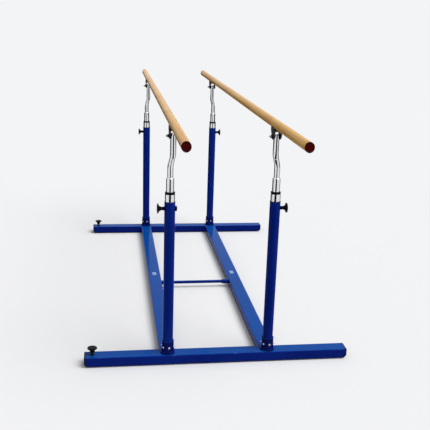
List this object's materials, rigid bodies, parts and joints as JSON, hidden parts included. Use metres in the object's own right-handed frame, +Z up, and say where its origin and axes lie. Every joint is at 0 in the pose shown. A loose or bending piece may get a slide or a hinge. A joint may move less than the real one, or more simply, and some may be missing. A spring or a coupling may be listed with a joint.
{
  "type": "gymnastics parallel bars",
  "caption": "Free-standing gymnastics parallel bars: wooden bars on telescopic chromed uprights with clamp knobs, over a blue steel tube base with levelling feet.",
  "frame": {"origin": "on the floor, under the middle of the base", "axes": "+Y along the bars, +X to the right across them, +Z up"},
  "size_m": [1.39, 3.5, 1.2776],
  "materials": {
    "blue_paint": "glossy stove enamel over welded steel",
    "chrome": "bright chrome plate",
    "black_steel": "black coated steel",
    "black_plastic": "black moulded plastic",
    "bar_wood": "sanded, oiled wood",
    "fibreglass": "glass-fibre rod",
    "red_rubber": "dark red rubber",
    "black_rubber": "black rubber"
  },
  "bodies": {
    "base": {"centre_brace": "blue_paint", "front_cross_beam": "blue_paint", "front_left_collar": "chrome", "front_left_end_cap": "black_plastic", "front_left_guide_ring": "black_plastic", "front_left_post": "blue_paint", "front_left_socket": "blue_paint", "front_right_collar": "chrome", "front_right_end_cap": "black_plastic", "front_right_foot": "black_rubber", "front_right_guide_ring": "black_plastic", "front_right_post": "blue_paint", "front_right_socket": "blue_paint", "left_long_beam": "blue_paint", "rear_cross_beam": "blue_paint", "rear_left_collar": "chrome", "rear_left_end_cap": "black_plastic", "rear_left_guide_ring": "black_plastic", "rear_left_post": "blue_paint", "rear_left_socket": "blue_paint", "rear_right_collar": "chrome", "rear_right_end_cap": "black_plastic", "rear_right_foot": "black_rubber", "rear_right_guide_ring": "black_plastic", "rear_right_post": "blue_paint", "rear_right_socket": "blue_paint", "right_long_beam": "blue_paint"},
    "front_leveller_foot": {"front_left_foot": "black_rubber"},
    "front_leveller_screw": {"front_levelling_screw": "black_plastic"},
    "rear_leveller_foot": {"rear_left_foot": "black_rubber"},
    "rear_leveller_screw": {"rear_levelling_screw": "black_plastic"},
    "front_left_piston": {"front_left_inner_tube": "chrome", "front_left_neck": "chrome"},
    "front_left_clamp": {"front_left_clamp_screw": "black_plastic"},
    "rear_left_piston": {"rear_left_inner_tube": "chrome", "rear_left_neck": "chrome"},
    "rear_left_clamp": {"rear_left_clamp_screw": "black_plastic"},
    "left_bar_set": {"left_bar": "bar_wood", "left_bar_core": "fibreglass", "front_left_bar_cap": "red_rubber", "front_left_yoke": "black_steel", "front_left_pivot_bolt": "black_steel", "rear_left_bar_cap": "red_rubber", "rear_left_yoke": "black_steel", "rear_left_pivot_bolt": "black_steel"},
    "front_right_piston": {"front_right_inner_tube": "chrome", "front_right_neck": "chrome"},
    "front_right_clamp": {"front_right_clamp_screw": "black_plastic"},
    "rear_right_piston": {"rear_right_inner_tube": "chrome", "rear_right_neck": "chrome"},
    "rear_right_clamp": {"rear_right_clamp_screw": "black_plastic"},
    "right_bar_set": {"right_bar": "bar_wood", "right_bar_core": "fibreglass", "front_right_bar_cap": "red_rubber", "front_right_yoke": "black_steel", "front_right_pivot_bolt": "black_steel", "rear_right_bar_cap": "red_rubber", "rear_right_yoke": "black_steel", "rear_right_pivot_bolt": "black_steel"}
  },
  "joints": [
    {"name": "front_leveller_height", "type": "slide", "parent": "base", "child": "front_leveller_foot", "axis": [0, 0, 1], "range_m": [-0.008, 0]},
    {"name": "front_leveller_turn", "type": "hinge", "parent": "front_leveller_foot", "child": "front_leveller_screw", "pos_m": [-0.653, -1.15, 0.05], "axis": [0, 0, 1], "range_deg": [-1645, 0]},
    {"name": "rear_leveller_height", "type": "slide", "parent": "base", "child": "rear_leveller_foot", "axis": [0, 0, 1], "range_m": [-0.008, 0]},
    {"name": "rear_leveller_turn", "type": "hinge", "parent": "rear_leveller_foot", "child": "rear_leveller_screw", "pos_m": [-0.653, 1.15, 0.05], "axis": [0, 0, 1], "range_deg": [-1645, 0]},
    {"name": "left_height", "type": "slide", "parent": "base", "child": "front_left_piston", "axis": [0, 0, 1], "range_m": [-0.05, 0.45]},
    {"name": "left_tilt", "type": "hinge", "parent": "front_left_piston", "child": "left_bar_set", "pos_m": [-0.253, -1.15, 1.1966], "axis": [1, 0, 0], "range_deg": [-1.2, 1.2]},
    {"name": "left_rear_pivot", "type": "hinge", "parent": "left_bar_set", "child": "rear_left_piston", "pos_m": [-0.253, 1.15, 1.1966], "axis": [1, 0, 0], "range_deg": [-1.25, 1.25]},
    {"name": "front_left_clamp_turn", "type": "hinge", "parent": "base", "child": "front_left_clamp", "pos_m": [-0.3, -1.15, 0.835], "axis": [-1, 0, 0], "range_deg": [0, 720]},
    {"name": "rear_left_clamp_turn", "type": "hinge", "parent": "base", "child": "rear_left_clamp", "pos_m": [-0.3, 1.15, 0.835], "axis": [-1, 0, 0], "range_deg": [0, 720]},
    {"name": "right_height", "type": "slide", "parent": "base", "child": "front_right_piston", "axis": [0, 0, 1], "range_m": [-0.05, 0.45]},
    {"name": "right_tilt", "type": "hinge", "parent": "front_right_piston", "child": "right_bar_set", "pos_m": [0.253, -1.15, 1.1966], "axis": [1, 0, 0], "range_deg": [-1.2, 1.2]},
    {"name": "right_rear_pivot", "type": "hinge", "parent": "right_bar_set", "child": "rear_right_piston", "pos_m": [0.253, 1.15, 1.1966], "axis": [1, 0, 0], "range_deg": [-1.25, 1.25]},
    {"name": "front_right_clamp_turn", "type": "hinge", "parent": "base", "child": "front_right_clamp", "pos_m": [0.3, -1.15, 0.835], "axis": [1, 0, 0], "range_deg": [0, 720]},
    {"name": "rear_right_clamp_turn", "type": "hinge", "parent": "base", "child": "rear_right_clamp", "pos_m": [0.3, 1.15, 0.835], "axis": [1, 0, 0], "range_deg": [0, 720]}
  ],
  "couplings": [
    {"joint": "front_leveller_height", "follows": "front_leveller_turn", "m_per_rad": 0.0002785},
    {"joint": "rear_leveller_height", "follows": "rear_leveller_turn", "m_per_rad": 0.0002785},
    {"joint": "left_rear_pivot", "follows": "left_tilt", "ratio": -1},
    {"joint": "right_rear_pivot", "follows": "right_tilt", "ratio": -1}
  ]
}
